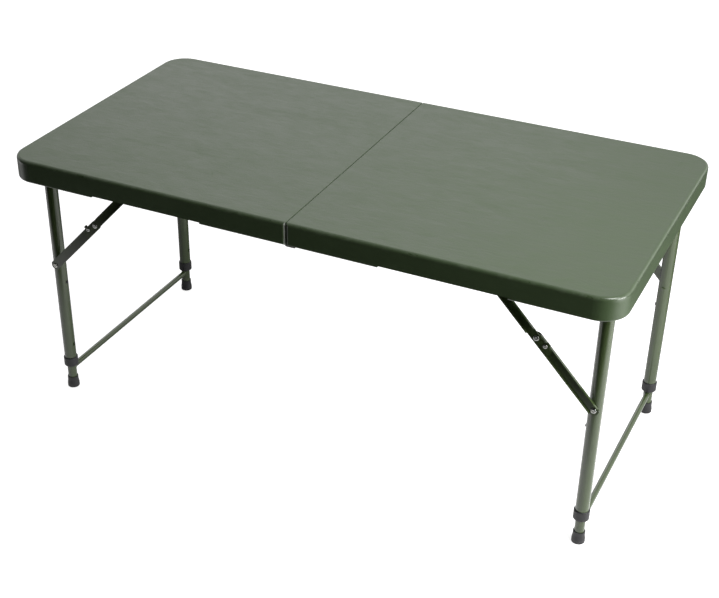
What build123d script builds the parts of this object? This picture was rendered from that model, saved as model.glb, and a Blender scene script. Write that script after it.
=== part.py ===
from build123d import *
import math
import os

# A camping table that folds in half like a case. Millimetres, +Z up, X along the length.
# The origin is on the floor under the middle of the top. Front is -Y, left is -X.

# Top
table_length = 1200
table_width = 610
table_height = 555
rim_height = 44
panel_thickness = 13
rim_wall = 22
end_wall = 9
seam_wall = 14
corner_radius = 50
top_edge_radius = 6
rim_edge_radius = 3
recess_corner_radius = 28
seam_gap = 0.8
seam_corner_radius = 6
seam_chamfer = 1.2
rim_relief_start = 175
rim_relief_length = 235
rim_relief_height = 4
tack_rows = 5
tack_columns = 4
tack_pitch = 90
tack_first = 90
tack_mouth = 20
tack_floor = 9
tack_depth = 8

# Leg frames
leg_inset_x = 40
leg_inset_y = 75
leg_tube = 25
leg_wall = 1.2
frame_bend = 45
stow_clearance = 0.75
lower_tube = 19
lower_wall = 1.2
crossbar_tube = 12
crossbar_wall = 1
crossbar_height = 45.5
slide_travel = 150

# Collars, feet, guides and snap buttons
collar_diameter = 29.5
collar_bottom = 54
collar_height = 21
collar_floor = 4
collar_lip = 1.5
foot_diameter = 25
foot_neck = 22.5
foot_height = 25
foot_floor = 6
foot_edge = 1.5
guide_height = 18
button_drop = 32
button_diameter = 7
button_reach = 1.2
spring_width = 7
spring_gauge = 0.8
spring_length = 34

# Saddle clips that carry the bar of a leg frame
saddle_offset = 110
saddle_width = 20
saddle_gauge = 2
saddle_flange = 16
cradle_width = 16
cradle_half = 11
cradle_drop = 11

# Folding braces
brace_reach = 214
brace_drop = 226.5
link_gauge = 1.5
link_flange = 5
upper_link_width = 17
lower_link_width = 19
upper_link_tail = 29
tail_rivet_offset = 20.5
tail_rivet_side = 4
stop_ear_width = 8
stop_ear_reach = 5
leg_gap = 0.5
layer_gap = 0.3
bracket_gauge = 2
bracket_ear = 24
bracket_flange = 22
bracket_length = 40
link_rivet = 6
link_rivet_head = 10.5
tail_rivet = 5
tail_rivet_head = 8
rivet_head_height = 2
rivet_end_gap = 8
flange_setback = 17

# Hinges at the seam
hinge_edge = 5
hinge_length = 38
leaf_gauge = 2
leaf_reach = 44
knuckle_radius = 4
hinge_pin = 4
end_knuckle = 10
lug_reach = 17
lug_width = 10

# Fasteners and clearances
screw_diameter = 4
screw_head = 8
screw_head_height = 2.4
screw_depth = 9
running_clearance = 0.08
fit_clearance = 0.3

# Places that follow from the sizes
half_length = table_length / 2
half_width = table_width / 2
rim_bottom = table_height - rim_height
panel_underside = table_height - panel_thickness
leg_x = half_length - leg_inset_x
leg_y = half_width - leg_inset_y
pivot_z = panel_underside - stow_clearance - collar_diameter / 2
leg_radius = leg_tube / 2
leg_bore = leg_radius - leg_wall
lower_radius = lower_tube / 2
lower_bore = lower_radius - lower_wall
tube_end = collar_bottom + collar_floor
bracket_x = leg_x - brace_reach
leg_rivet_z = pivot_z - brace_drop
lower_top = leg_rivet_z - link_rivet / 2 - rivet_end_gap
button_z = lower_top - button_drop
brace_length = math.hypot(brace_reach, brace_drop)
upper_link = (brace_length - brace_drop + brace_reach) / 2
lower_link = brace_length - upper_link
brace_x = brace_reach / brace_length
brace_z = -brace_drop / brace_length
lower_layer = leg_radius + leg_gap
upper_layer = lower_layer + link_flange + layer_gap
ear_layer = upper_layer + link_gauge + layer_gap
hinge_inner = half_width - hinge_edge - hinge_length
hinge_outer = half_width - hinge_edge


def rod(radius, start, end):
    """A round bar between two points."""
    axis = Vector(*end) - Vector(*start)
    return Solid.make_cylinder(radius, axis.length, Plane(origin=start, z_dir=axis))


def block(x, y, z):
    """A box given by its low and high limits along each axis."""
    corner = Location((min(x), min(y), min(z)))
    return Solid.make_box(abs(x[1] - x[0]), abs(y[1] - y[0]), abs(z[1] - z[0]), Plane(corner))


def at_back(solid):
    """The same piece on the back side of the table."""
    return mirror(solid, about=Plane.XZ)


def pan_screw(x, y, z):
    """A screw driven upwards, with its head below the face at z."""
    head = rod(screw_head / 2, (x, y, z - screw_head_height), (x, y, z))
    return head + rod(screw_diameter / 2, (x, y, z), (x, y, z + screw_depth))


def flush_screw(x, y, z):
    """A countersunk screw driven upwards, flush with the face at z."""
    cone = Solid.make_cone(screw_head / 2, screw_diameter / 2, leaf_gauge, Plane((x, y, z)))
    shank_start = z + leaf_gauge
    return cone + rod(screw_diameter / 2, (x, y, shank_start), (x, y, shank_start + screw_depth))


def layer_plane(x, z, along_x, along_z):
    """The plane of the front brace: X along the link, Z outwards from the leg axis."""
    return Plane(origin=(x, -leg_y, z), x_dir=(along_x, 0, along_z), z_dir=(0, -1, 0))


def round_strip(length, width):
    """A strip from the origin to length, with round ends about both."""
    strip = Pos(length / 2, 0) * Rectangle(length, width)
    return strip + Circle(width / 2) + Pos(length, 0) * Circle(width / 2)


def edge_flanges(start, end, width, low, high):
    """The two edge flanges of a pressed link."""
    middle = (start + end) / 2
    offset = (width - link_gauge) / 2
    strip = Pos(middle, offset) * Rectangle(end - start, link_gauge)
    strip += Pos(middle, -offset) * Rectangle(end - start, link_gauge)
    return extrude(Pos(0, 0, low) * strip, high - low)


def saddle_screws():
    """Screws of the two saddle clips at the right end."""
    reach = leg_radius + running_clearance + saddle_gauge + saddle_flange / 2
    face = panel_underside - saddle_gauge
    places = [(leg_x + sx * reach, sy * saddle_offset) for sx in (-1, 1) for sy in (-1, 1)]
    return [pan_screw(x, y, face) for x, y in places]


def bracket_screws():
    """Screws of the two brace brackets at the right end."""
    reach = leg_y + ear_layer + (bracket_flange + bracket_gauge) / 2
    offset = bracket_length / 2 - screw_head
    face = panel_underside - bracket_gauge
    places = [(bracket_x + sx * offset, sy * reach) for sx in (-1, 1) for sy in (-1, 1)]
    return [pan_screw(x, y, face) for x, y in places]


def hinge_screws():
    """Screws of the two hinge leaves on the right half."""
    middle = (hinge_inner + hinge_outer - lug_width) / 2
    places = [(knuckle_radius + d, s * middle) for d in (screw_head * 1.2, screw_head * 3.6) for s in (-1, 1)]
    return [flush_screw(x, y, rim_bottom) for x, y in places]


def tack_pockets():
    """Round tapered pockets in the underside of the right half."""
    pockets = []
    for column in range(tack_columns):
        for row in range(tack_rows):
            x = tack_first + column * tack_pitch
            y = (row - (tack_rows - 1) / 2) * tack_pitch
            seat = Plane((x, y, panel_underside))
            pockets.append(Solid.make_cone(tack_mouth / 2, tack_floor / 2, tack_depth, seat))
    return pockets


def top_half():
    """The right half of the top, before the cuts that only one half has."""
    board = extrude(RectangleRounded(table_length, table_width, corner_radius), rim_height)
    board = Pos(0, 0, rim_bottom) * board
    board = fillet(board.edges().group_by(Axis.Z)[-1], top_edge_radius)
    board = fillet(board.edges().group_by(Axis.Z)[0], rim_edge_radius)
    seam = seam_gap / 2
    half = board - block((-half_length, seam), (-half_width, half_width), (0, table_height))
    recess_length = half_length - end_wall - seam_wall
    recess_width = table_width - 2 * rim_wall
    recess = RectangleRounded(recess_length, recess_width, recess_corner_radius)
    recess_depth = rim_height - panel_thickness
    place = Pos(seam_wall + recess_length / 2, 0, rim_bottom)
    half -= extrude(place * recess, recess_depth)
    inner = half_width - rim_wall
    for side in (-1, 1):
        # Solid corner that the hinge leaf is screwed to
        depth = (rim_bottom, panel_underside)
        half += block((seam, leaf_reach + leaf_gauge), (side * (hinge_inner - leaf_gauge), side * inner), depth)
        # Shallow relief along the bottom of the long rim
        relief = (rim_relief_start, rim_relief_start + rim_relief_length)
        half -= block(relief, (side * inner, side * half_width), (rim_bottom, rim_bottom + rim_relief_height))
        # Rounded vertical edge at the seam
        corner = (seam, seam + seam_corner_radius)
        edge = block(corner, (side * (half_width - seam_corner_radius), side * half_width), (rim_bottom, table_height))
        axis_x = seam + seam_corner_radius
        axis_y = side * (half_width - seam_corner_radius)
        half -= edge - rod(seam_corner_radius, (axis_x, axis_y, rim_bottom), (axis_x, axis_y, table_height))
        # Cradle that the bar of the leg frame turns against
        spread = (side * (saddle_offset - cradle_width / 2), side * (saddle_offset + cradle_width / 2))
        sides = (leg_x - cradle_half, leg_x + cradle_half)
        cradle = block(sides, spread, (panel_underside - cradle_drop, panel_underside))
        half += cradle - rod(leg_radius + running_clearance, (leg_x, spread[0], pivot_z), (leg_x, spread[1], pivot_z))
        # Seats of the hinge leaf and barrel
        leaf = (side * (hinge_inner - fit_clearance), side * (hinge_outer + fit_clearance))
        half -= block((0, leaf_reach + fit_clearance), leaf, (rim_bottom, rim_bottom + leaf_gauge))
        half -= rod(knuckle_radius + 2 * fit_clearance, (0, leaf[0], rim_bottom), (0, leaf[1], rim_bottom))
    groove = Pos(seam, 0, table_height) * Rot(0, 45, 0) * Box(seam_chamfer, table_width, seam_chamfer)
    half -= groove
    for cut in saddle_screws() + bracket_screws() + hinge_screws() + tack_pockets():
        half -= cut
    return half


def lug_pocket(side):
    """Pocket in the left rim that the hinge lug enters when the table is closed."""
    spread = (side * (hinge_outer - lug_width - fit_clearance), side * (hinge_outer + fit_clearance))
    depth = (rim_bottom, rim_bottom + knuckle_radius + fit_clearance)
    return block((-lug_reach - fit_clearance, 0), spread, depth)


def hinge_barrel(start, end, bore):
    """One knuckle of the front hinge."""
    knuckle = rod(knuckle_radius, (0, -start, rim_bottom), (0, -end, rim_bottom))
    return knuckle - rod(bore, (0, -start, rim_bottom), (0, -end, rim_bottom))


def right_leaf():
    """Front hinge leaf on the right half, with two knuckles and the closing lug."""
    bore = hinge_pin / 2 + running_clearance
    spread = (-hinge_outer, -hinge_inner)
    leaf = block((0, leaf_reach), spread, (rim_bottom, rim_bottom + leaf_gauge))
    clear = knuckle_radius + fit_clearance
    gap = (-hinge_outer + end_knuckle, -hinge_inner - end_knuckle)
    leaf -= block((0, clear), gap, (rim_bottom, rim_bottom + leaf_gauge))
    leaf -= rod(bore, (0, spread[0], rim_bottom), (0, spread[1], rim_bottom))
    leaf += hinge_barrel(hinge_outer, hinge_outer - end_knuckle, bore)
    leaf += hinge_barrel(hinge_inner, hinge_inner + end_knuckle, bore)
    lug = block((0, lug_reach), (-hinge_outer, -hinge_outer + lug_width), (rim_bottom - knuckle_radius, rim_bottom))
    lug = fillet(lug.edges().filter_by(Axis.Y).group_by(Axis.Z)[0].sort_by(Axis.X)[-1], knuckle_radius / 2)
    leaf += lug - rod(knuckle_radius, (0, spread[0], rim_bottom), (0, spread[1], rim_bottom))
    for screw in hinge_screws():
        leaf -= screw
    return leaf


def left_leaf():
    """Front hinge leaf on the left half, with the middle knuckle that grips the pin."""
    low = hinge_inner + end_knuckle + fit_clearance
    high = hinge_outer - end_knuckle - fit_clearance
    leaf = block((-leaf_reach, 0), (-high, -hinge_inner), (rim_bottom, rim_bottom + leaf_gauge))
    clear = knuckle_radius + fit_clearance
    leaf -= block((-clear, 0), (-low, -hinge_inner), (rim_bottom, rim_bottom + leaf_gauge))
    leaf -= rod(hinge_pin / 2, (0, -high, rim_bottom), (0, -low, rim_bottom))
    leaf += hinge_barrel(low, high, hinge_pin / 2)
    for screw in hinge_screws():
        leaf -= mirror(screw, about=Plane.YZ)
    return leaf


def leg_frame():
    """Upper legs and the bar that joins them, bent from one tube."""
    points = [(leg_x, -leg_y, tube_end), (leg_x, -leg_y, pivot_z), (leg_x, leg_y, pivot_z), (leg_x, leg_y, tube_end)]
    path = FilletPolyline(*points, radius=frame_bend)
    ring = Circle(leg_radius) - Circle(leg_bore)
    frame = sweep(Plane(origin=path @ 0, z_dir=path % 0) * ring, path=path)
    span = leg_y + leg_tube
    frame -= rod(link_rivet / 2, (leg_x, -span, leg_rivet_z), (leg_x, span, leg_rivet_z))
    for side in (-1, 1):
        for height in (button_z, button_z - slide_travel):
            hole = button_diameter / 2 + fit_clearance
            frame -= rod(hole, (leg_x - leg_tube, side * leg_y, height), (leg_x, side * leg_y, height))
    return frame


def saddle(side):
    """Strap under the bar of the leg frame, with a flange each side."""
    inside = leg_radius + running_clearance
    outside = inside + saddle_gauge
    rise = panel_underside - pivot_z
    flange_half = outside + saddle_flange
    strap = Circle(outside) + Pos(0, rise / 2) * Rectangle(2 * outside, rise)
    strap += Pos(0, rise - saddle_gauge / 2) * Rectangle(2 * flange_half, saddle_gauge)
    strap -= Circle(inside) + Pos(0, rise / 2) * Rectangle(2 * inside, rise)
    face = Plane(origin=(leg_x, side * saddle_offset, pivot_z), x_dir=(1, 0, 0), z_dir=(0, -1, 0))
    clip = extrude(face * strap, saddle_width / 2, both=True)
    for screw in saddle_screws():
        clip -= screw
    return clip


def collar():
    """Plastic cup on the lower end of the front upper tube, with a sleeve inside the tube."""
    top = collar_bottom + collar_height
    cup = rod(collar_diameter / 2, (0, 0, collar_bottom), (0, 0, top))
    cup = chamfer(cup.edges().group_by(Axis.Z)[-1] + cup.edges().group_by(Axis.Z)[0], collar_lip)
    slot = rod(leg_radius, (0, 0, tube_end), (0, 0, top)) - rod(leg_bore, (0, 0, tube_end), (0, 0, top))
    cup -= slot
    cup -= rod(lower_radius + running_clearance, (0, 0, collar_bottom), (0, 0, top))
    return Pos(leg_x, -leg_y, 0) * cup


def lower_leg():
    """Front lower tube, with the hole that the snap button comes through."""
    tube = rod(lower_radius, (0, 0, foot_floor), (0, 0, lower_top))
    tube -= rod(lower_bore, (0, 0, foot_floor), (0, 0, lower_top))
    tube -= rod(button_diameter / 2, (-lower_tube, 0, button_z), (0, 0, button_z))
    return Pos(leg_x, -leg_y, 0) * tube


def foot():
    """Flared foot cap with a blind bore for the lower tube."""
    profile = Polyline(
        (0, 0),
        (foot_diameter / 2, 0),
        (foot_diameter / 2, foot_height / 3),
        (foot_neck / 2, foot_height * 2 / 3),
        (foot_neck / 2, foot_height),
        (0, foot_height),
        close=True,
    )
    cap = revolve(Plane.XZ * make_face(profile), Axis.Z)
    cap = fillet(cap.edges().group_by(Axis.Z)[0], foot_edge)
    cap -= rod(lower_radius, (0, 0, foot_floor), (0, 0, foot_height))
    return Pos(leg_x, -leg_y, 0) * cap


def guide():
    """Ring on the upper end of the front lower tube that runs inside the upper tube."""
    bottom = lower_top - guide_height
    ring = rod(leg_bore - running_clearance, (0, 0, bottom), (0, 0, lower_top))
    ring -= rod(lower_radius, (0, 0, bottom), (0, 0, lower_top))
    return Pos(leg_x, -leg_y, 0) * ring


def snap_spring():
    """V spring inside the front lower tube, with the button that locks the height."""
    wall = lower_bore - fit_clearance
    top = button_z + spring_length / 4
    bottom = top - spring_length
    shoulder = math.sqrt(wall**2 - (spring_width / 2) ** 2)
    bow = Polyline((-shoulder, top), (0, bottom), (shoulder, top))
    strip = Plane.XZ * trace(bow, spring_gauge)
    spring = extrude(strip, spring_width / 2, both=True)
    inner = -shoulder * (1 - (top - button_z) / spring_length)
    tip = -leg_radius - button_reach
    button = rod(button_diameter / 2 - fit_clearance, (tip, 0, button_z), (inner, 0, button_z))
    button = fillet(button.edges().sort_by(Axis.X)[0], button_reach / 2)
    return Pos(leg_x, -leg_y, 0) * (spring + button)


def crossbar():
    """Bar that joins the two lower tubes, coped to their walls."""
    bar = rod(crossbar_tube / 2, (leg_x, -leg_y, crossbar_height), (leg_x, leg_y, crossbar_height))
    bore = crossbar_tube / 2 - crossbar_wall
    bar -= rod(bore, (leg_x, -leg_y, crossbar_height), (leg_x, leg_y, crossbar_height))
    for side in (-1, 1):
        bar -= rod(lower_radius, (leg_x, side * leg_y, 0), (leg_x, side * leg_y, lower_top))
    return bar


def upper_brace():
    """Front upper link: a pressed channel with a tail past the elbow and a stop ear."""
    low = upper_layer
    web = round_strip(upper_link + upper_link_tail, upper_link_width)
    ear_at = upper_link + tail_rivet_offset
    ear_height = upper_link_width / 2 + stop_ear_reach
    web += Pos(ear_at, ear_height / 2) * Rectangle(stop_ear_width, ear_height)
    web -= Circle(link_rivet / 2 + running_clearance)
    web -= Pos(upper_link, 0) * Circle(link_rivet / 2)
    web -= Pos(ear_at, tail_rivet_side) * Circle(tail_rivet / 2)
    link = extrude(Pos(0, 0, low) * web, link_gauge)
    flange_end = upper_link - flange_setback
    link += edge_flanges(flange_setback, flange_end, upper_link_width, low, low + link_flange)
    return layer_plane(bracket_x, pivot_z, brace_x, brace_z).location * link


def lower_brace():
    """Front lower link: a pressed channel open outwards, with a raised eye at the elbow."""
    low = lower_layer
    web = round_strip(lower_link, lower_link_width)
    web -= Circle(link_rivet / 2 + running_clearance)
    link = extrude(Pos(0, 0, low) * web, link_gauge)
    link += edge_flanges(0, lower_link, lower_link_width, low, low + link_flange)
    eye = Pos(lower_link, 0, low) * Circle(link_rivet)
    link += extrude(eye, link_flange)
    link -= extrude(Pos(lower_link, 0, low) * Circle(link_rivet / 2), link_flange)
    return layer_plane(leg_x, leg_rivet_z, -brace_x, -brace_z).location * link


def elbow_rivet():
    """Front elbow rivet, set in the upper link."""
    rivet = rod(link_rivet / 2, (upper_link, 0, upper_layer), (upper_link, 0, ear_layer))
    face = upper_layer + link_gauge
    rivet += rod(link_rivet_head / 2, (upper_link, 0, face), (upper_link, 0, face + rivet_head_height))
    rivet = fillet(rivet.edges().group_by(Axis.Z)[-1], rivet_head_height / 2)
    return layer_plane(bracket_x, pivot_z, brace_x, brace_z).location * rivet


def tail_stop_rivet():
    """Front stop rivet in the tail of the upper link."""
    u = upper_link + tail_rivet_offset
    face = upper_layer + link_gauge
    rivet = rod(tail_rivet / 2, (u, tail_rivet_side, upper_layer), (u, tail_rivet_side, face))
    rivet += rod(tail_rivet_head / 2, (u, tail_rivet_side, face), (u, tail_rivet_side, face + rivet_head_height))
    rivet = fillet(rivet.edges().group_by(Axis.Z)[-1], rivet_head_height / 2)
    return layer_plane(bracket_x, pivot_z, brace_x, brace_z).location * rivet


def leg_rivet():
    """Front rivet through the upper tube that the lower link turns on."""
    face = lower_layer + link_gauge + layer_gap
    inner = -leg_radius
    rivet = rod(link_rivet / 2, (0, 0, inner), (0, 0, face))
    rivet += rod(link_rivet_head / 2, (0, 0, face), (0, 0, face + rivet_head_height))
    rivet += rod(link_rivet_head / 2, (0, 0, inner - rivet_head_height), (0, 0, inner))
    rivet = fillet(rivet.edges().group_by(Axis.Z)[-1], rivet_head_height / 2)
    return layer_plane(leg_x, leg_rivet_z, 1, 0).location * rivet


def bracket():
    """Front bracket that carries the upper end of the brace under the panel."""
    rise = panel_underside - pivot_z
    ear = Circle(bracket_ear / 2) & Pos(0, -bracket_ear / 4) * Rectangle(bracket_ear, bracket_ear / 2)
    ear += Pos(0, rise / 2) * Rectangle(bracket_ear, rise)
    ear -= Circle(link_rivet / 2)
    plate = extrude(Pos(0, 0, ear_layer) * ear, bracket_gauge)
    flange = Pos(0, rise - bracket_gauge / 2) * Rectangle(bracket_length, bracket_gauge)
    plate += extrude(Pos(0, 0, ear_layer) * flange, bracket_flange)
    piece = layer_plane(bracket_x, pivot_z, 1, 0).location * plate
    for screw in bracket_screws():
        piece -= screw
    return piece


def bracket_pin():
    """Front pin that the upper link turns on, riveted into the bracket."""
    outer = ear_layer + bracket_gauge
    pin = rod(link_rivet / 2, (0, 0, upper_layer), (0, 0, outer))
    pin += rod(link_rivet_head / 2, (0, 0, outer), (0, 0, outer + rivet_head_height))
    return layer_plane(bracket_x, pivot_z, 1, 0).location * pin


def pair(solid):
    """A piece and its twin on the back side, as one group."""
    return Compound([solid, at_back(solid)])


def hinge_pins():
    """The two hinge pins."""
    pin = rod(hinge_pin / 2, (0, -hinge_outer, rim_bottom), (0, -hinge_inner, rim_bottom))
    return pair(pin)


def end_pieces():
    """Every piece of the right end except the top, by name."""
    pieces = {
        "leg_frame": leg_frame(),
        "saddles": Compound([saddle(-1), saddle(1)]),
        "saddle_screws": Compound(saddle_screws()),
        "crossbar": crossbar(),
        "guide_bushes": pair(guide()),
        "snap_springs": pair(snap_spring()),
        "bracket_screws": Compound(bracket_screws()),
        "bracket_pins": pair(bracket_pin()),
        "leg_rivets": pair(leg_rivet()),
        "elbow_rivets": pair(elbow_rivet()),
        "stop_rivets": pair(tail_stop_rivet()),
        "hinge_screws": Compound(hinge_screws()),
    }
    singles = {
        "collar": collar(),
        "lower_leg": lower_leg(),
        "foot": foot(),
        "upper_link": upper_brace(),
        "lower_link": lower_brace(),
        "bracket": bracket(),
    }
    for name, solid in singles.items():
        pieces[f"front_{name}"] = solid
        pieces[f"back_{name}"] = at_back(solid)
    return pieces


def main():
    os.makedirs("parts", exist_ok=True)
    right_top = top_half()
    left_top = mirror(right_top, about=Plane.YZ)
    for side in (-1, 1):
        left_top -= lug_pocket(side)
    front_left_leaf = left_leaf()
    front_right_leaf = right_leaf()
    nodes = {
        "left_top": left_top,
        "right_top": right_top,
        "left_front_hinge_leaf": front_left_leaf,
        "left_back_hinge_leaf": at_back(front_left_leaf),
        "right_front_hinge_leaf": front_right_leaf,
        "right_back_hinge_leaf": at_back(front_right_leaf),
        "hinge_pins": hinge_pins(),
    }
    for name, shape in end_pieces().items():
        nodes[f"right_{name}"] = shape
        nodes[f"left_{name}"] = mirror(shape, about=Plane.YZ)
    for name, shape in nodes.items():
        export_step(shape, f"parts/{name}.step")


main()
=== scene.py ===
import math

import bpy
from bpy.props import FloatProperty, FloatVectorProperty, IntProperty, PointerProperty
from mathutils import Matrix, Vector


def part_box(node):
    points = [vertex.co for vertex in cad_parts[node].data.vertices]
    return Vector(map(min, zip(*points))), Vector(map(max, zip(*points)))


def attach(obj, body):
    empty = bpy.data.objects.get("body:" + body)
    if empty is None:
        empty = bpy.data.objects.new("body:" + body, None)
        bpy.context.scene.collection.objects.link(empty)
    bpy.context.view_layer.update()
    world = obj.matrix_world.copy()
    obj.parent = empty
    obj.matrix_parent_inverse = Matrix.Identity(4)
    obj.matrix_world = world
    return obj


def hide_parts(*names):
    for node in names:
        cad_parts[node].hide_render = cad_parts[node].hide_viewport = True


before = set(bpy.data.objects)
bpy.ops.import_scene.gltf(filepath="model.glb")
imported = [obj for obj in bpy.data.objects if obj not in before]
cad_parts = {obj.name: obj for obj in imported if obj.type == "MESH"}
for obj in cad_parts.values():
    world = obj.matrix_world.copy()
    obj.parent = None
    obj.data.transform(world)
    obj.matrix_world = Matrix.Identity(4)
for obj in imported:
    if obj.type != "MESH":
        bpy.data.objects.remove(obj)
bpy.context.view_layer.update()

bl_info = {
    "name": "Folding Camping Table",
    "version": (1, 0, 0),
    "blender": (4, 5, 0),
    "location": "View3D > Sidebar > Camping Table",
    "description": "Dresses the solids of a camping table that folds in half",
    "category": "Object",
}

SIDES = ("left", "right")
ENDS = ("front", "back")
TOP_LOW, TOP_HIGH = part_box("right_top")
TUBE_LOW, TUBE_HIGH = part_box("right_leg_frame")
LEG_LOW, LEG_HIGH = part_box("right_front_lower_leg")
CORNER_RADIUS = 0.050
SCREW_RADIUS = 0.004
FLOOR_REACH = 8.0
LAMP_PLACES = {
    "key_lamp": (1.25, -0.5, 1.49),
    "side_lamp": (2.4, -0.25, 0.8),
    "back_lamp": (-1.3, 2.6, 2.3),
}
LAMP_SIZES = {
    "key_lamp": (0.55, 0.8),
    "side_lamp": (1.0, 1.0),
    "back_lamp": (2.4, 2.4),
}


class TableColours(bpy.types.PropertyGroup):
    """Colours of the finishes."""

    top_green: FloatVectorProperty(
        name="Top Green",
        description="Main colour of the moulded top",
        subtype="COLOR",
        min=0,
        max=1,
        default=(0.066, 0.101, 0.046),
    )
    top_worn: FloatVectorProperty(
        name="Worn Green",
        description="Colour of the moulded top where its edges are rubbed",
        subtype="COLOR",
        min=0,
        max=1,
        default=(0.120, 0.155, 0.100),
    )
    leg_green: FloatVectorProperty(
        name="Leg Green",
        description="Colour of the paint on the tubes and braces",
        subtype="COLOR",
        min=0,
        max=1,
        default=(0.068, 0.099, 0.038),
    )
    cap_grey: FloatVectorProperty(
        name="Cap Grey",
        description="Colour of the plastic collars and feet",
        subtype="COLOR",
        min=0,
        max=1,
        default=(0.030, 0.030, 0.032),
    )
    zinc_grey: FloatVectorProperty(
        name="Zinc Grey",
        description="Colour of the plated fittings",
        subtype="COLOR",
        min=0,
        max=1,
        default=(0.48, 0.49, 0.47),
    )
    spring_grey: FloatVectorProperty(
        name="Spring Grey",
        description="Colour of the snap springs",
        subtype="COLOR",
        min=0,
        max=1,
        default=(0.075, 0.075, 0.080),
    )
    floor_white: FloatVectorProperty(
        name="Floor White",
        description="Colour of the floor",
        subtype="COLOR",
        min=0,
        max=1,
        default=(0.80, 0.80, 0.80),
    )


class FastenerSizes(bpy.types.PropertyGroup):
    """Sizes of the screws, rivets and welds."""

    screw_height: FloatProperty(
        name="Screw Head Height",
        description="Height of a pan head above its seat",
        subtype="DISTANCE",
        unit="LENGTH",
        default=0.0024,
    )
    flush_depth: FloatProperty(
        name="Flush Head Depth",
        description="Depth of a countersunk head",
        subtype="DISTANCE",
        unit="LENGTH",
        default=0.0020,
    )
    recess_width: FloatProperty(
        name="Recess Width",
        description="Length of each slot of the cross recess",
        subtype="DISTANCE",
        unit="LENGTH",
        default=0.0046,
    )
    recess_slot: FloatProperty(
        name="Recess Slot",
        description="Width of each slot of the cross recess",
        subtype="DISTANCE",
        unit="LENGTH",
        default=0.0011,
    )
    rivet_height: FloatProperty(
        name="Rivet Head Height",
        description="Height of a rivet head above its seat",
        subtype="DISTANCE",
        unit="LENGTH",
        default=0.0020,
    )
    rivet_shank: FloatProperty(
        name="Rivet Shank",
        description="Length of the shank behind a rivet head",
        subtype="DISTANCE",
        unit="LENGTH",
        default=0.0017,
    )
    bead_radius: FloatProperty(
        name="Weld Bead",
        description="Half the width of the weld bead round an end of a crossbar",
        subtype="DISTANCE",
        unit="LENGTH",
        default=0.0011,
    )
    bead_ripples: IntProperty(
        name="Weld Ripples",
        description="Number of ripples in one weld bead",
        min=1,
        default=26,
    )


class StageSettings(bpy.types.PropertyGroup):
    """Camera and lamps."""

    camera_place: FloatVectorProperty(
        name="Camera Place",
        description="Where the camera stands",
        subtype="TRANSLATION",
        unit="LENGTH",
        default=(0.9873, -2.1309, 1.6334),
    )
    camera_azimuth: FloatProperty(
        name="Camera Azimuth",
        description="Turn of the camera round the table from the front",
        subtype="ANGLE",
        default=math.radians(26.53),
    )
    camera_elevation: FloatProperty(
        name="Camera Elevation",
        description="Angle by which the camera looks down",
        subtype="ANGLE",
        default=math.radians(32.22),
    )
    camera_roll: FloatProperty(
        name="Camera Roll",
        description="Turn of the camera about its own line of sight",
        subtype="ANGLE",
        default=math.radians(0.21),
    )
    camera_lens: FloatProperty(
        name="Focal Length",
        description="Focal length on a sensor 36 mm wide",
        default=67.54,
    )
    camera_shift: FloatVectorProperty(
        name="Camera Shift",
        description="Shift of the picture across the sensor",
        size=2,
        default=(0.0497, 0.0510),
    )
    key_power: FloatProperty(
        name="Key Lamp",
        description="Power of the soft lamp on the right",
        subtype="POWER",
        unit="POWER",
        default=13,
    )
    side_power: FloatProperty(
        name="Side Lamp",
        description="Power of the soft lamp beside the right end",
        subtype="POWER",
        unit="POWER",
        default=30,
    )
    back_power: FloatProperty(
        name="Back Lamp",
        description="Power of the soft lamp behind the table",
        subtype="POWER",
        unit="POWER",
        default=10,
    )
    world_level: FloatProperty(
        name="Backdrop Level",
        description="Brightness of the surroundings behind the table",
        default=1.1,
    )


class CampingTable(bpy.types.PropertyGroup):
    """All settings of the camping table."""

    colours: PointerProperty(type=TableColours)
    fasteners: PointerProperty(type=FastenerSizes)
    stage: PointerProperty(type=StageSettings)


class Number:
    """A number in a node tree. An expression on it adds Math nodes."""

    def __init__(self, nodes, socket):
        self.nodes = nodes
        self.socket = socket

    def math(self, operation, *values):
        sockets = dict(enumerate(values))
        made = self.nodes.node("ShaderNodeMath", {"operation": operation}, sockets)
        return Number(self.nodes, made.outputs[0])

    def __add__(self, other):
        return self.math("ADD", self, other)

    def __sub__(self, other):
        return self.math("SUBTRACT", self, other)

    def __rsub__(self, other):
        return self.math("SUBTRACT", other, self)

    def __mul__(self, other):
        return self.math("MULTIPLY", self, other)

    def __truediv__(self, other):
        return self.math("DIVIDE", self, other)

    def __rtruediv__(self, other):
        return self.math("DIVIDE", other, self)

    def __pow__(self, other):
        return self.math("POWER", self, other)

    def __gt__(self, other):
        return self.math("GREATER_THAN", self, other)

    def __lt__(self, other):
        return self.math("LESS_THAN", self, other)

    def __abs__(self):
        return self.math("ABSOLUTE", self)

    def sine(self):
        return self.math("SINE", self)

    def cosine(self):
        return self.math("COSINE", self)

    def root(self):
        return self.math("SQRT", self)

    def rounded(self):
        return self.math("ROUND", self)

    def at_least(self, other):
        return self.math("MAXIMUM", self, other)

    def at_most(self, other):
        return self.math("MINIMUM", self, other)

    def ramp(self, low, high):
        """0 below low and 1 above high, with a smooth rise between them."""
        sockets = {"Value": self, "From Min": low, "From Max": high, "To Min": 0.0, "To Max": 1.0}
        made = self.nodes.node("ShaderNodeMapRange", {"interpolation_type": "SMOOTHSTEP"}, sockets)
        return Number(self.nodes, made.outputs[0])

    __radd__ = __add__
    __rmul__ = __mul__


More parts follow.
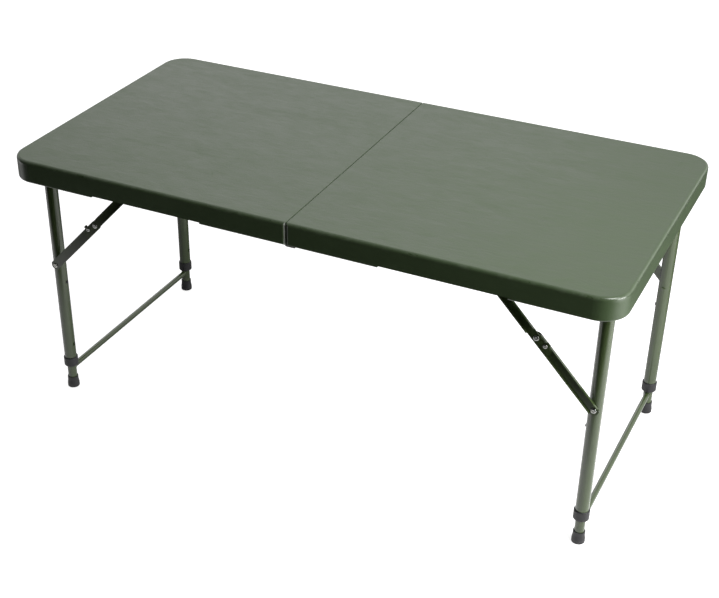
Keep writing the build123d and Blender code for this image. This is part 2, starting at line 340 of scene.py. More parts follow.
class Nodes:
    """Adds nodes to one node tree."""

    def __init__(self, tree):
        self.tree = tree

    def node(self, kind, settings=None, sockets=None):
        made = self.tree.nodes.new(kind)
        for name, value in (settings or {}).items():
            setattr(made, name, value)
        for name, value in (sockets or {}).items():
            source = getattr(value, "socket", value)
            if isinstance(source, bpy.types.NodeSocket):
                self.tree.links.new(source, made.inputs[name])
            else:
                made.inputs[name].default_value = source
        return made

    def number(self, kind, settings=None, sockets=None, output=0):
        return Number(self, self.node(kind, settings, sockets).outputs[output])

    def vector(self, x, y, z):
        return self.node("ShaderNodeCombineXYZ", None, {0: x, 1: y, 2: z}).outputs[0]

    def split(self, vector):
        made = self.node("ShaderNodeSeparateXYZ", None, {0: vector})
        return [Number(self, socket) for socket in made.outputs]


class Finish(Nodes):
    """A material with one principled shader, in object coordinates."""

    def __init__(self, name):
        self.material = bpy.data.materials.new(name)
        self.material.use_nodes = True
        super().__init__(self.material.node_tree)
        self.tree.nodes.clear()
        self.place = self.node("ShaderNodeTexCoord").outputs["Object"]
        self.x, self.y, self.z = self.split(self.place)

    def stretched(self, x, y, z):
        """Object coordinates scaled along each axis."""
        made = self.node("ShaderNodeVectorMath", {"operation": "MULTIPLY"}, {0: self.place, 1: (x, y, z)})
        return made.outputs[0]

    def noise(self, scale, detail=2.0, roughness=0.5, place=None, distortion=0.0):
        sockets = {
            "Vector": place or self.place,
            "Scale": scale,
            "Detail": detail,
            "Roughness": roughness,
            "Distortion": distortion,
        }
        return self.number("ShaderNodeTexNoise", None, sockets)

    def cells(self, scale, output=0):
        sockets = {"Vector": self.place, "Scale": scale}
        return self.number("ShaderNodeTexVoronoi", None, sockets, output)

    def blend(self, factor, first, second):
        """A colour between two colours."""
        sockets = {0: factor, 6: padded_colour(first), 7: padded_colour(second)}
        return self.node("ShaderNodeMix", {"data_type": "RGBA"}, sockets).outputs[2]

    def bump(self, height, distance, below=None):
        sockets = {"Height": height, "Strength": 1.0, "Distance": distance}
        if below is not None:
            sockets["Normal"] = below
        return self.node("ShaderNodeBump", None, sockets).outputs[0]

    def finished(self, **sockets):
        names = {name.replace("_", " "): value for name, value in sockets.items()}
        shader = self.node("ShaderNodeBsdfPrincipled", None, names)
        self.node("ShaderNodeOutputMaterial", None, {"Surface": shader.outputs[0]})
        return self.material


def padded_colour(colour):
    """A colour with its alpha, or a socket as it is."""
    if isinstance(colour, bpy.types.NodeSocket):
        return colour
    return (*colour, 1.0)


def shade(colour, factor):
    """A colour made lighter or darker."""
    return tuple(min(1.0, part * factor) for part in colour)


def outline_distance(finish):
    """Distance inwards from the outline of the whole top."""
    beyond_x = abs(finish.x) - (TOP_HIGH.x - CORNER_RADIUS)
    beyond_y = abs(finish.y) - (TOP_HIGH.y - CORNER_RADIUS)
    out_x = beyond_x.at_least(0.0)
    out_y = beyond_y.at_least(0.0)
    outside = (out_x * out_x + out_y * out_y).root()
    inside = beyond_x.at_least(beyond_y).at_most(0.0)
    return CORNER_RADIUS - (outside + inside)


def moulded_plastic(colours):
    """Blown plastic of the top: fine grain, soft mottling, rubbed edges and light scratches, with a painted
    highlight on the left half's seam edge.
    """
    green = tuple(colours.top_green)
    worn = tuple(colours.top_worn)
    finish = Finish("moulded_plastic")
    cloud = finish.noise(5.0, 3.0)
    flow = finish.noise(1.0, 3.0, 0.6, finish.stretched(3.0, 22.0, 22.0), 0.6)
    speck = finish.noise(420.0, 2.0)
    upper = finish.z.ramp(TOP_HIGH.z - 0.010, TOP_HIGH.z - 0.002)
    streak = finish.noise(1.0, 3.0, 0.6, finish.stretched(30.0, 80.0, 80.0), 0.4)
    streak = (streak - 0.5) * upper + 0.5
    shift = (cloud * 0.2 + flow * 0.2 + streak * 0.5 + speck * 0.1).ramp(0.36, 0.64)
    base = finish.blend(shift, shade(green, 0.92), shade(green, 1.09))
    edge = outline_distance(finish)
    near_edge = (1.0 - edge.ramp(0.001, 0.007)) * upper
    near_seam = (1.0 - abs(finish.x).ramp(0.0008, 0.0030)) * upper
    patches = finish.noise(55.0, 4.0, 0.6).ramp(0.42, 0.68)
    rubbed = near_edge.at_least(near_seam) * patches
    base = finish.blend(rubbed * 0.45, base, worn)
    # Painted highlight: a pale strip on the left half at both ends of the seam, standing in for light caught by
    # its rounded edge.
    painted_seam_highlight = finish.x.ramp(-0.0040, -0.0030) * (1.0 - finish.x.ramp(-0.0006, -0.0003))
    painted_seam_highlight = painted_seam_highlight * abs(finish.y).ramp(TOP_HIGH.y - 0.004, TOP_HIGH.y - 0.002)
    base = finish.blend(painted_seam_highlight * 0.8, base, (0.50, 0.53, 0.47))
    lines = finish.noise(1.0, 2.0, 0.5, finish.stretched(2.5, 16.0, 16.0), 1.2)
    cross = finish.noise(1.0, 2.0, 0.5, finish.stretched(14.0, 3.5, 14.0), 1.4)
    scratch = 1.0 - (abs(lines - 0.5)).ramp(0.0004, 0.0016)
    scratch = scratch.at_least(1.0 - (abs(cross - 0.5)).ramp(0.0004, 0.0014))
    scratch = scratch * finish.noise(13.0, 3.0).ramp(0.50, 0.66) * upper
    base = finish.blend(scratch * 0.22, base, worn)
    below = 1.0 - finish.z.ramp(TOP_HIGH.z - 0.0016, TOP_HIGH.z - 0.0005)
    smooth = (1.0 - edge.ramp(0.004, 0.011)) * below
    rough = 0.43 - smooth * 0.13 + (flow - 0.5) * 0.10 + (cloud - 0.5) * 0.06 + (streak - 0.5) * 0.24
    rough = rough + rubbed * 0.06 + scratch * 0.10
    lip = smooth * finish.z.ramp(TOP_HIGH.z - 0.011, TOP_HIGH.z - 0.005) * 0.8
    pebble = finish.cells(950.0)
    fine = finish.noise(1600.0, 2.0)
    normal = finish.bump(pebble * 0.6 + fine * 0.4 - scratch * 0.5, 0.00009)
    normal = finish.bump(streak, 0.00035, normal)
    normal = finish.bump(finish.noise(7.0, 2.0), 0.0011, normal)
    return finish.finished(
        Base_Color=base, Roughness=rough, Normal=normal, Coat_Weight=lip, Coat_Roughness=0.24
    )


def leg_paint(colours):
    """Powder paint on steel: orange peel, a little gloss and sliding marks on the lower tubes."""
    green = tuple(colours.leg_green)
    finish = Finish("leg_paint")
    cloud = finish.noise(11.0, 3.0)
    grit = finish.noise(520.0, 2.0)
    base = finish.blend((cloud * 0.7 + grit * 0.3).ramp(0.32, 0.68), shade(green, 0.90), shade(green, 1.12))
    streak = finish.noise(1.0, 3.0, 0.6, finish.stretched(420.0, 420.0, 7.0))
    lower = 1.0 - finish.z.ramp(TUBE_LOW.z - 0.010, TUBE_LOW.z)
    marks = streak.ramp(0.60, 0.72) * lower
    base = finish.blend(marks * 0.35, base, shade(green, 1.7))
    dust = finish.noise(60.0, 4.0, 0.6).ramp(0.50, 0.75) * (1.0 - finish.z.ramp(0.020, 0.075))
    base = finish.blend(dust * 0.18, base, (0.20, 0.19, 0.16))
    rough = 0.17 + (cloud - 0.5) * 0.08 + marks * 0.14 + dust * 0.20
    peel = finish.noise(330.0, 1.5)
    normal = finish.bump(peel * 0.7 + grit * 0.3, 0.00006)
    return finish.finished(
        Base_Color=base, Roughness=rough, Normal=normal, Coat_Weight=0.45, Coat_Roughness=0.10
    )


def cap_plastic(colours):
    """Dark plastic of the collars and feet, with grain, scuffs at the floor and ring treads below."""
    grey = tuple(colours.cap_grey)
    finish = Finish("cap_plastic")
    cloud = finish.noise(38.0, 3.0)
    speck = finish.noise(900.0, 2.0)
    base = finish.blend((cloud * 0.6 + speck * 0.4).ramp(0.35, 0.65), shade(grey, 0.80), shade(grey, 1.22))
    scuff = finish.noise(190.0, 4.0, 0.65).ramp(0.52, 0.72) * (1.0 - finish.z.ramp(0.001, 0.011))
    base = finish.blend(scuff * 0.5, base, (0.16, 0.155, 0.145))
    rough = 0.52 + (cloud - 0.5) * 0.18 + scuff * 0.12
    off_x = abs(finish.x) - (LEG_LOW.x + LEG_HIGH.x) / 2
    off_y = abs(finish.y) + (LEG_LOW.y + LEG_HIGH.y) / 2
    radius = (off_x * off_x + off_y * off_y).root()
    treads = (radius * (2 * math.pi / 0.0025)).sine() * (1.0 - finish.z.ramp(0.0002, 0.0006))
    normal = finish.bump(finish.cells(1300.0) * 0.5 + speck * 0.5, 0.00010)
    normal = finish.bump(treads, 0.0004, normal)
    return finish.finished(Base_Color=base, Roughness=rough, Normal=normal)


def zinc_plate(colours):
    """Bright plated steel, with spangle, a faint tint and handling marks."""
    grey = tuple(colours.zinc_grey)
    finish = Finish("zinc_plate")
    spangle = finish.cells(420.0, 1)
    cloud = finish.noise(70.0, 3.0)
    tint = (grey[0] * 1.02, grey[1] * 0.98, grey[2] * 0.88)
    base = finish.blend(cloud.ramp(0.40, 0.70), shade(grey, 0.92), tint)
    base = finish.blend(spangle * 0.25, base, shade(grey, 1.15))
    scratch = finish.noise(1.0, 2.0, 0.5, finish.stretched(90.0, 900.0, 90.0)).ramp(0.60, 0.70)
    rough = 0.30 + (cloud - 0.5) * 0.22 + scratch * 0.10
    normal = finish.bump(scratch * 0.5 + finish.noise(800.0, 2.0) * 0.5, 0.00003)
    return finish.finished(Base_Color=base, Roughness=rough, Metallic=1.0, Normal=normal)


def spring_temper(colours):
    """Tempered strip of the snap springs and their buttons."""
    grey = tuple(colours.spring_grey)
    finish = Finish("spring_temper")
    cloud = finish.noise(130.0, 3.0)
    warm = (grey[0] * 1.25, grey[1] * 1.18, grey[2] * 1.05)
    base = finish.blend(cloud.ramp(0.35, 0.70), shade(grey, 0.80), warm)
    rough = 0.34 + (cloud - 0.5) * 0.20
    normal = finish.bump(finish.noise(1.0, 2.0, 0.5, finish.stretched(900.0, 900.0, 90.0)), 0.00002)
    return finish.finished(Base_Color=base, Roughness=rough, Metallic=1.0, Normal=normal)


def paint_nodes(material, names):
    """Gives solids of the frame one finish."""
    for name in names:
        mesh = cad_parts[name].data
        mesh.materials.clear()
        mesh.materials.append(material)


def finish_named(context, name, maker):
    """A finish by name, made the first time that it is needed."""
    found = bpy.data.materials.get(name)
    return found or maker(context.scene.camping_table.colours)


def both_sides(*names):
    """Node names on the left and on the right side of the table."""
    return [f"{side}_{name}" for side in SIDES for name in names]


def all_corners(*names):
    """Node names at the four legs."""
    return [f"{side}_{end}_{name}" for side in SIDES for end in ENDS for name in names]


class Tree(Nodes):
    """A Geometry Nodes tree with named inputs."""

    def __init__(self, name, inputs):
        tree = bpy.data.node_groups.new(name, "GeometryNodeTree")
        super().__init__(tree)
        tree.interface.new_socket("Geometry", in_out="INPUT", socket_type="NodeSocketGeometry")
        tree.interface.new_socket("Geometry", in_out="OUTPUT", socket_type="NodeSocketGeometry")
        self.identifiers = {}
        for label, kind in inputs.items():
            socket = tree.interface.new_socket(label, in_out="INPUT", socket_type=kind)
            self.identifiers[label] = socket.identifier
        self.inputs = self.node("NodeGroupInput")

    def input(self, label):
        return Number(self, self.inputs.outputs[label])

    def turned(self, profile, rings, sides):
        """A closed surface turned about Z. The profile gives radius and height of each ring."""
        sizes = {"Size X": 1.0, "Size Y": 1.0, "Vertices X": rings, "Vertices Y": sides + 1}
        grid = self.node("GeometryNodeMeshGrid", None, sizes).outputs["Mesh"]
        across, along, _ = self.split(self.node("GeometryNodeInputPosition").outputs[0])
        ring = ((across + 0.5) * (rings - 1)).rounded()
        angle = (along + 0.5) * (2 * math.pi)
        radius, height = profile(ring)
        place = self.vector(radius * angle.cosine(), radius * angle.sine(), height)
        bent = self.node("GeometryNodeSetPosition", None, {"Geometry": grid, "Position": place})
        joined = {"Geometry": bent.outputs[0], "Distance": 1e-6}
        return self.node("GeometryNodeMergeByDistance", None, joined).outputs[0]

    def set_on_points(self, shape, axis, turn=None):
        """Puts a shape on every point, with one of its axes along the point's facing."""
        facing = self.node("GeometryNodeInputNamedAttribute", {"data_type": "FLOAT_VECTOR"}, {"Name": "facing"})
        aligned = {"Vector": facing.outputs[0]}
        rotation = self.node("FunctionNodeAlignRotationToVector", {"axis": axis}, aligned).outputs[0]
        if turn is not None:
            about = {"Axis": (0.0, 0.0, 1.0), "Angle": turn}
            spin = self.node("FunctionNodeAxisAngleToRotation", None, about).outputs[0]
            turned = {"Rotation": rotation, "Rotate By": spin}
            rotation = self.node("FunctionNodeRotateRotation", {"rotation_space": "LOCAL"}, turned).outputs[0]
        sockets = {"Points": self.inputs.outputs["Geometry"], "Instance": shape, "Rotation": rotation}
        return self.node("GeometryNodeInstanceOnPoints", None, sockets).outputs[0]

    def close(self, geometry):
        """Ends the tree with real, painted faces."""
        real = self.node("GeometryNodeRealizeInstances", None, {"Geometry": geometry}).outputs[0]
        painted = {"Geometry": real, "Material": self.inputs.outputs["Material"]}
        painted = self.node("GeometryNodeSetMaterial", None, painted).outputs[0]
        self.node("NodeGroupOutput", None, {"Geometry": painted})


def screw_tree():
    """Screw heads with a cross recess, on points."""
    inputs = {
        "Head Radius": "NodeSocketFloat",
        "Head Height": "NodeSocketFloat",
        "Base Radius": "NodeSocketFloat",
        "Base Depth": "NodeSocketFloat",
        "Recess Width": "NodeSocketFloat",
        "Recess Slot": "NodeSocketFloat",
        "Recess Depth": "NodeSocketFloat",
        "Seed": "NodeSocketInt",
        "Material": "NodeSocketMaterial",
    }
    tree = Tree("screw_heads", inputs)
    rings = 12

    def profile(ring):
        share = ((ring - 2.0) / (rings - 3)).at_least(0.0)
        angle = share * (math.pi / 2)
        crown_radius = angle.cosine().at_least(0.0) ** 0.62 * tree.input("Head Radius")
        crown_height = angle.sine().at_least(0.0) ** 0.62 * tree.input("Head Height")
        is_base = (ring > 0.5) * (ring < 1.5)
        is_crown = ring > 1.5
        radius = is_base * tree.input("Base Radius") + is_crown * crown_radius
        height = is_crown * crown_height - (ring < 1.5) * tree.input("Base Depth")
        return radius, height

    head = tree.turned(profile, rings, 32)
    depth = tree.input("Recess Depth")
    long = tree.input("Recess Width")
    slot = tree.input("Recess Slot")
    top = tree.input("Head Height")
    first = tree.node("GeometryNodeMeshCube", None, {"Size": tree.vector(long, slot, depth * 2.0)}).outputs[0]
    second = tree.node("GeometryNodeMeshCube", None, {"Size": tree.vector(slot, long, depth * 2.0)}).outputs[0]
    lift = tree.vector(0.0, 0.0, top)
    tools = []
    for bar in (first, second):
        moved = {"Geometry": bar, "Translation": lift}
        tools.append(tree.node("GeometryNodeTransform", None, moved).outputs[0])
    cut = tree.node("GeometryNodeMeshBoolean", {"operation": "DIFFERENCE"}, {"Mesh 1": head})
    for tool in tools:
        tree.tree.links.new(tool, cut.inputs["Mesh 2"])
    random = {2: 0.0, 3: 2 * math.pi, "Seed": tree.input("Seed")}
    turn = tree.number("FunctionNodeRandomValue", {"data_type": "FLOAT"}, random, 1)
    tree.close(tree.set_on_points(cut.outputs[0], "Z", turn))
    return tree


def rivet_tree():
    """Domed rivet heads with a short shank and a shallow dimple, on points."""
    inputs = {
        "Head Radius": "NodeSocketFloat",
        "Head Height": "NodeSocketFloat",
        "Shank Radius": "NodeSocketFloat",
        "Shank Length": "NodeSocketFloat",
        "Dimple Depth": "NodeSocketFloat",
        "Material": "NodeSocketMaterial",
    }
    tree = Tree("rivet_heads", inputs)
    rings = 20

    def profile(ring):
        share = ((ring - 3.0) / (rings - 4)).at_least(0.0)
        angle = share * (math.pi / 2)
        head_radius = tree.input("Head Radius")
        crown_radius = angle.cosine().at_least(0.0) ** 0.8 * head_radius
        bowl = (crown_radius / (head_radius * 0.34)) ** 2.0
        dimple = tree.input("Dimple Depth") / (1.0 + bowl * bowl)
        crown_height = angle.sine().at_least(0.0) ** 0.8 * tree.input("Head Height") - dimple
        is_shank = (ring > 0.5) * (ring < 2.5)
        is_crown = ring > 2.5
        radius = is_shank * tree.input("Shank Radius") + is_crown * crown_radius
        height = is_crown * crown_height.at_least(0.0) - (ring < 1.5) * tree.input("Shank Length")
        return radius, height

    head = tree.turned(profile, rings, 40)
    smooth = tree.node("GeometryNodeSetShadeSmooth", None, {"Geometry": head}).outputs[0]
    tree.close(tree.set_on_points(smooth, "Z"))
    return tree


def weld_tree():
    """Rippled weld beads where a round bar meets a round tube, on points at the tube's axis."""
    inputs = {
        "Bar Radius": "NodeSocketFloat",
        "Tube Radius": "NodeSocketFloat",
        "Bead Radius": "NodeSocketFloat",
        "Ripples": "NodeSocketInt",
        "Material": "NodeSocketMaterial",
    }
    tree = Tree("weld_beads", inputs)
    circle = {"Resolution": 208, "Radius": 1.0}
    path = tree.node("GeometryNodeCurvePrimitiveCircle", {"mode": "RADIUS"}, circle).outputs[0]
    unit_x, unit_z, _ = tree.split(tree.node("GeometryNodeInputPosition").outputs[0])
    bar = tree.input("Bar Radius")
    tube = tree.input("Tube Radius")
    across = unit_x * bar
    out = (tube * tube - across * across).root()
    place = tree.vector(across, out, unit_z * bar)
    path = tree.node("GeometryNodeSetPosition", None, {"Geometry": path, "Position": place}).outputs[0]
    along = tree.number("GeometryNodeSplineParameter", None, None, 0)
    wave = (along * tree.input("Ripples") * (2 * math.pi)).sine()
    drift = (along * (2 * math.pi * 3) + 0.7).sine()
    thick = 1.0 + wave * 0.13 + drift * 0.08
    path = tree.node("GeometryNodeSetCurveRadius", None, {"Curve": path, "Radius": thick}).outputs[0]
    section = {"Resolution": 12, "Radius": tree.input("Bead Radius")}
    section = tree.node("GeometryNodeCurvePrimitiveCircle", {"mode": "RADIUS"}, section).outputs[0]
    swept = {"Curve": path, "Profile Curve": section, "Scale": thick}
    bead = tree.node("GeometryNodeCurveToMesh", None, swept)
    smooth = tree.node("GeometryNodeSetShadeSmooth", None, {"Geometry": bead.outputs[0]}).outputs[0]
    tree.close(tree.set_on_points(smooth, "Y"))
    return tree


def grown(name, tree, points, values, material, body):
    """A plain mesh piece from a tree on points. Each point is a place and a facing."""
    mesh = bpy.data.meshes.new(name + "_points")
    mesh.from_pydata([place for place, _ in points], [], [])
    facing = mesh.attributes.new("facing", "FLOAT_VECTOR", "POINT")
    for item, (_, direction) in zip(facing.data, points):
        item.vector = direction
    piece = bpy.data.objects.new(name, mesh)
    bpy.context.scene.collection.objects.link(piece)
    modifier = piece.modifiers.new("Nodes", "NODES")
    modifier.node_group = tree.tree
    for label, value in {**values, "Material": material}.items():
        modifier[tree.identifiers[label]] = value
    bpy.context.view_layer.update()
    evaluated = piece.evaluated_get(bpy.context.evaluated_depsgraph_get())
    made = bpy.data.meshes.new_from_object(evaluated)
    if not made.polygons:
        raise RuntimeError(f"{name} came out with no faces")
    piece.modifiers.clear()
    piece.data = made
    bpy.data.meshes.remove(mesh)
    made.name = name
    if not made.materials:
        made.materials.append(material)
    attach(piece, body)
    return piece


def corner_places(node, radius, lift):
    """The four corners of a node's box, moved in by a radius, at a height above its low side."""
    low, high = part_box(node)
    spots = [(low.x + radius, low.y + radius), (low.x + radius, high.y - radius)]
    spots += [(high.x - radius, low.y + radius), (high.x - radius, high.y - radius)]
    return [((x, y, low.z + lift), (0.0, 0.0, -1.0)) for x, y in spots]


class CAMPTABLE_OT_top(bpy.types.Operator):
    """Gives both halves of the top their moulded plastic"""

    bl_idname = "camptable.top"
    bl_label = "Moulded Top"

    def execute(self, context):
        material = finish_named(context, "moulded_plastic", moulded_plastic)
        paint_nodes(material, both_sides("top"))
        return {"FINISHED"}


class CAMPTABLE_OT_legs(bpy.types.Operator):
    """Paints the leg frames, lower legs, crossbars and braces"""

    bl_idname = "camptable.legs"
    bl_label = "Painted Legs"

    def execute(self, context):
        material = finish_named(context, "leg_paint", leg_paint)
        names = both_sides("leg_frame", "crossbar")
        paint_nodes(material, names + all_corners("lower_leg", "upper_link", "lower_link"))
        return {"FINISHED"}


class CAMPTABLE_OT_caps(bpy.types.Operator):
    """Gives the collars, feet and guide bushes their dark plastic"""

    bl_idname = "camptable.caps"
    bl_label = "Collars and Feet"

    def execute(self, context):
        material = finish_named(context, "cap_plastic", cap_plastic)
        paint_nodes(material, both_sides("guide_bushes") + all_corners("collar", "foot"))
        return {"FINISHED"}


class CAMPTABLE_OT_fittings(bpy.types.Operator):
    """Plates the hinges, saddles and brackets, and tempers the snap springs"""

    bl_idname = "camptable.fittings"
    bl_label = "Fittings"

    def execute(self, context):
        zinc = finish_named(context, "zinc_plate", zinc_plate)
        paint_nodes(zinc, ["hinge_pins"] + both_sides("saddles"))
        paint_nodes(zinc, all_corners("hinge_leaf", "bracket"))
        spring = finish_named(context, "spring_temper", spring_temper)
        paint_nodes(spring, both_sides("snap_springs"))
        return {"FINISHED"}


class CAMPTABLE_OT_screws(bpy.types.Operator):
    """Drives the pan screws of saddles and brackets and the flush screws of the hinges"""

    bl_idname = "camptable.screws"
    bl_label = "Screws"

    def execute(self, context):
        sizes = context.scene.camping_table.fasteners
        zinc = finish_named(context, "zinc_plate", zinc_plate)
        tree = screw_tree()
        recess = {"Recess Width": sizes.recess_width, "Recess Slot": sizes.recess_slot, "Seed": 3}
        flush_rise = 0.0001
        pan = {
            "Head Radius": SCREW_RADIUS,
            "Head Height": sizes.screw_height,
            "Base Radius": SCREW_RADIUS,
            "Base Depth": 0.0,
            "Recess Depth": sizes.screw_height * 0.65,
        }
        flush = {
            "Head Radius": SCREW_RADIUS,
            "Head Height": flush_rise,
            "Base Radius": SCREW_RADIUS / 2,
            "Base Depth": sizes.flush_depth,
            "Recess Depth": sizes.flush_depth * 0.75,
        }
        for side in SIDES:
            body = f"{side}_half"
            for kind in ("saddle_screws", "bracket_screws"):
                node = f"{side}_{kind}"
                points = corner_places(node, SCREW_RADIUS, sizes.screw_height)
                piece = grown(f"{node}_heads", tree, points, {**recess, **pan}, zinc, body)
                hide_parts(node)
            node = f"{side}_hinge_screws"
            points = corner_places(node, SCREW_RADIUS, flush_rise)
            piece = grown(f"{node}_heads", tree, points, {**recess, **flush}, zinc, body)
            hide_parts(node)
        return {"FINISHED"}


class CAMPTABLE_OT_rivets(bpy.types.Operator):
    """Sets the rivets of the braces, legs and brackets"""

    bl_idname = "camptable.rivets"
    bl_label = "Rivets"

    def execute(self, context):
        sizes = context.scene.camping_table.fasteners
        zinc = finish_named(context, "zinc_plate", zinc_plate)
        paint = finish_named(context, "leg_paint", leg_paint)
        tree = rivet_tree()
        groups = {
            "leg_rivets": "legs",
            "elbow_rivets": "upper_links",
            "stop_rivets": "upper_links",
            "bracket_pins": "half",
        }
        for side in SIDES:
            for kind, body in groups.items():
                node = f"{side}_{kind}"
                low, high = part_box(node)
                middle = (low + high) / 2
                rise = sizes.rivet_height
                points = [
                    ((middle.x, low.y + rise, middle.z), (0.0, -1.0, 0.0)),
                    ((middle.x, high.y - rise, middle.z), (0.0, 1.0, 0.0)),
                ]
                radius = (high.x - low.x) / 2
                values = {
                    "Head Radius": radius,
                    "Head Height": rise,
                    "Shank Radius": radius * 0.57,
                    "Shank Length": sizes.rivet_shank,
                    "Dimple Depth": rise * 0.30,
                }
                piece = grown(f"{node}_heads", tree, points, values, zinc, f"{side}_{body}")
                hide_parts(node)
            low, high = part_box(f"{side}_leg_rivets")
            middle = (low + high) / 2
            radius = (high.x - low.x) / 2
            inner = TUBE_HIGH.y - (TUBE_HIGH.x - TUBE_LOW.x)
            points = [
                ((middle.x, -inner, middle.z), (0.0, 1.0, 0.0)),
                ((middle.x, inner, middle.z), (0.0, -1.0, 0.0)),
            ]
            values = {
                "Head Radius": radius * 0.85,
                "Head Height": sizes.rivet_height * 0.6,
                "Shank Radius": radius * 0.57,
                "Shank Length": sizes.rivet_shank,
                "Dimple Depth": 0.0,
            }
            grown(f"{side}_leg_rivet_tails", tree, points, values, paint, f"{side}_legs")
        return {"FINISHED"}


class CAMPTABLE_OT_welds(bpy.types.Operator):
    """Runs a weld bead round each end of the crossbars"""

    bl_idname = "camptable.welds"
    bl_label = "Weld Beads"

    def execute(self, context):
        sizes = context.scene.camping_table.fasteners
        paint = finish_named(context, "leg_paint", leg_paint)
        tree = weld_tree()
        for side in SIDES:
            low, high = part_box(f"{side}_front_lower_leg")
            bar_low, bar_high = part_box(f"{side}_crossbar")
            middle_x = (low.x + high.x) / 2
            middle_y = (low.y + high.y) / 2
            middle_z = (bar_low.z + bar_high.z) / 2
            points = [
                ((middle_x, middle_y, middle_z), (0.0, 1.0, 0.0)),
                ((middle_x, -middle_y, middle_z), (0.0, -1.0, 0.0)),
            ]
            values = {
                "Bar Radius": (bar_high.z - bar_low.z) / 2,
                "Tube Radius": (high.x - low.x) / 2,
                "Bead Radius": sizes.bead_radius,
                "Ripples": sizes.bead_ripples,
            }
            grown(f"{side}_weld_beads", tree, points, values, paint, f"{side}_lower_legs")
        return {"FINISHED"}


def ray_kinds(nodes):
    """Whether a ray comes from the camera, and whether a surface mirrored it or let it through."""
    path = nodes.node("ShaderNodeLightPath")
    camera = Number(nodes, path.outputs["Is Camera Ray"])
    glossy = Number(nodes, path.outputs["Is Glossy Ray"])
    through = Number(nodes, path.outputs["Is Transmission Ray"])
    return camera, glossy.at_least(through)


def studio_floor(colour):
    """Pale floor that the camera sees as white with the table's soft shadow. To all other rays it shows painted
    light: bright in a band round the table and dim further out, with a painted shadow under the left half,
    painted shade towards the left, and a glow for mirrored rays.
    """
    material = bpy.data.materials.new("studio_floor")
    material.use_nodes = True
    nodes = Nodes(material.node_tree)
    nodes.tree.nodes.clear()
    camera, mirrored = ray_kinds(nodes)
    place = nodes.node("ShaderNodeTexCoord").outputs["Object"]
    across, depth, _ = nodes.split(place)
    # Painted light on the floor, for all rays but the camera's: bright in a band round the table, dim further
    # in front and behind.
    front = depth + (1.0 - across.ramp(-0.7, -0.2)) * 0.16
    painted_light = front.ramp(-0.80, -0.42) * (1.0 - depth.ramp(0.0, 0.7) * 0.9)
    # Painted shadow under and behind the table's left half.
    painted_light = painted_light * (1.0 - (1.0 - across.ramp(-0.35, -0.05)) * depth.ramp(-0.30, -0.10) * 0.6)
    # Painted shade: the floor darker towards the left.
    painted_light_and_shade = painted_light * (across.ramp(-0.7, 0.0) * 0.65 + 0.35)
    tone = {0: painted_light_and_shade.at_least(camera), 6: (0.0, 0.0, 0.0, 1.0), 7: (*colour, 1.0)}
    tone = nodes.node("ShaderNodeMix", {"data_type": "RGBA"}, tone).outputs[2]
    matte = nodes.node("ShaderNodeBsdfDiffuse", None, {"Color": tone})
    # For mirrored rays the floor glows with the painted light, a painted reflection of a lit floor.
    strength = camera * 0.80 + mirrored * painted_light * 0.75
    glow = nodes.node("ShaderNodeEmission", None, {"Color": (1.0, 1.0, 1.0, 1.0), "Strength": strength})
    both = nodes.node("ShaderNodeAddShader", None, {0: matte.outputs[0], 1: glow.outputs[0]})
    nodes.node("ShaderNodeOutputMaterial", None, {"Surface": both.outputs[0]})
    return material


def studio_world(level):
    """White for the camera. Bright behind and on the right, dim in front."""
    world = bpy.data.worlds.new("studio_world")
    world.use_nodes = True
    nodes = Nodes(world.node_tree)
    nodes.tree.nodes.clear()
    direction = nodes.node("ShaderNodeTexCoord").outputs["Generated"]
    x, y, z = nodes.split(direction)
    behind = (x * -0.30 + y * 0.76 + z * 0.57).at_least(0.0) ** 1.6
    right = (x * 0.90 + z * 0.43).at_least(0.0) ** 2.0
    light = 0.02 + behind * level + right * 0.15
    camera, mirrored = ray_kinds(nodes)
    strength = camera.at_least(mirrored * y.ramp(0.0, 0.5)).at_least((1.0 - camera) * light)
    background = nodes.node("ShaderNodeBackground", None, {"Color": (1.0, 1.0, 1.0, 1.0), "Strength": strength})
    nodes.node("ShaderNodeOutputWorld", None, {"Surface": background.outputs[0]})
    return world


def soft_lamp(name, place, target, size, power):
    """An area lamp, of a width and a height, that faces a point."""
    data = bpy.data.lights.new(name, "AREA")
    data.shape = "RECTANGLE"
    data.size, data.size_y = size
    data.energy = power
    lamp = bpy.data.objects.new(name, data)
    lamp.location = place
    lamp.rotation_euler = (Vector(target) - Vector(place)).to_track_quat("-Z", "Y").to_euler()
    lamp.visible_camera = False
    bpy.context.scene.collection.objects.link(lamp)
    return lamp


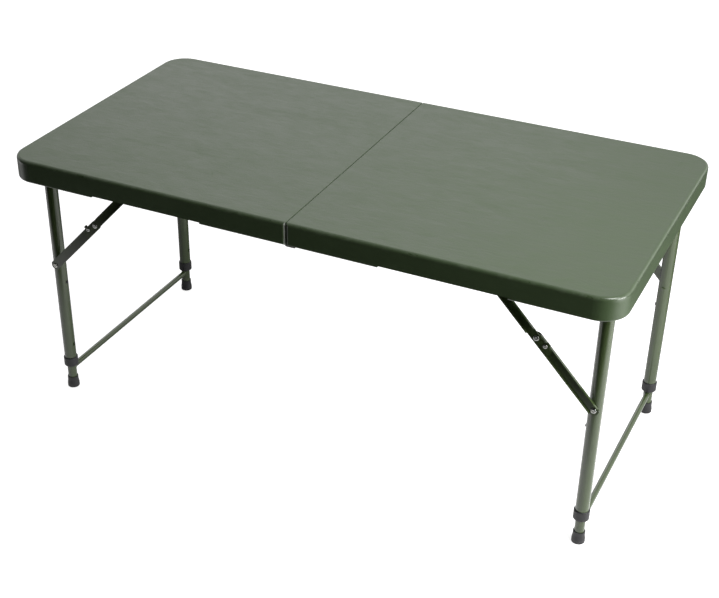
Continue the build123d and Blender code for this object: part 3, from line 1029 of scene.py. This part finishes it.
class CAMPTABLE_OT_stage(bpy.types.Operator):
    """Makes the floor, surroundings, lamps and camera"""

    bl_idname = "camptable.stage"
    bl_label = "Stage"

    def execute(self, context):
        scene = context.scene
        settings = scene.camping_table
        stage = settings.stage
        reach = FLOOR_REACH
        mesh = bpy.data.meshes.new("studio_floor")
        corners = [(-reach, -reach, 0.0), (reach, -reach, 0.0), (reach, reach, 0.0), (-reach, reach, 0.0)]
        mesh.from_pydata(corners, [], [(0, 1, 2, 3)])
        mesh.materials.append(studio_floor(tuple(settings.colours.floor_white)))
        floor = bpy.data.objects.new("studio_floor", mesh)
        scene.collection.objects.link(floor)
        scene.world = studio_world(stage.world_level)
        middle = (0.0, 0.0, TOP_HIGH.z)
        powers = {"key_lamp": stage.key_power, "side_lamp": stage.side_power, "back_lamp": stage.back_power}
        for name, power in powers.items():
            soft_lamp(name, LAMP_PLACES[name], middle, LAMP_SIZES[name], power)
        data = bpy.data.cameras.new("photo_camera")
        data.sensor_width = 36.0
        data.lens = stage.camera_lens
        data.shift_x, data.shift_y = stage.camera_shift
        data.clip_start = 0.05
        azimuth = stage.camera_azimuth
        elevation = stage.camera_elevation
        right = Vector((math.cos(azimuth), math.sin(azimuth), 0.0))
        level = math.cos(elevation)
        back = Vector((math.sin(azimuth) * level, -math.cos(azimuth) * level, math.sin(elevation)))
        axes = Matrix((right, back.cross(right), back)).transposed()
        turn = axes @ Matrix.Rotation(stage.camera_roll, 3, "Z")
        camera = bpy.data.objects.new("photo_camera", data)
        camera.matrix_world = Matrix.Translation(stage.camera_place) @ turn.to_4x4()
        scene.collection.objects.link(camera)
        scene.camera = camera
        scene.view_settings.view_transform = "Standard"
        return {"FINISHED"}


class CAMPTABLE_PT_panel(bpy.types.Panel):
    """Sidebar panel of the camping table"""

    bl_idname = "CAMPTABLE_PT_panel"
    bl_label = "Camping Table"
    bl_space_type = "VIEW_3D"
    bl_region_type = "UI"
    bl_category = "Camping Table"

    def draw(self, context):
        settings = context.scene.camping_table
        for operator in OPERATORS:
            self.layout.operator(operator.bl_idname)
        for group in (settings.colours, settings.fasteners, settings.stage):
            column = self.layout.column()
            for name in group.__annotations__:
                column.prop(group, name)


OPERATORS = (
    CAMPTABLE_OT_stage,
    CAMPTABLE_OT_top,
    CAMPTABLE_OT_legs,
    CAMPTABLE_OT_caps,
    CAMPTABLE_OT_fittings,
    CAMPTABLE_OT_screws,
    CAMPTABLE_OT_rivets,
    CAMPTABLE_OT_welds,
)
CLASSES = (TableColours, FastenerSizes, StageSettings, CampingTable, *OPERATORS, CAMPTABLE_PT_panel)


def register():
    for made in CLASSES:
        bpy.utils.register_class(made)
    bpy.types.Scene.camping_table = PointerProperty(type=CampingTable)


def unregister():
    del bpy.types.Scene.camping_table
    for made in reversed(CLASSES):
        bpy.utils.unregister_class(made)


def main():
    register()
    bpy.ops.camptable.stage()
    bpy.ops.camptable.top()
    bpy.ops.camptable.legs()
    bpy.ops.camptable.caps()
    bpy.ops.camptable.fittings()
    bpy.ops.camptable.screws()
    bpy.ops.camptable.rivets()
    bpy.ops.camptable.welds()


if __name__ == "__main__":
    main()
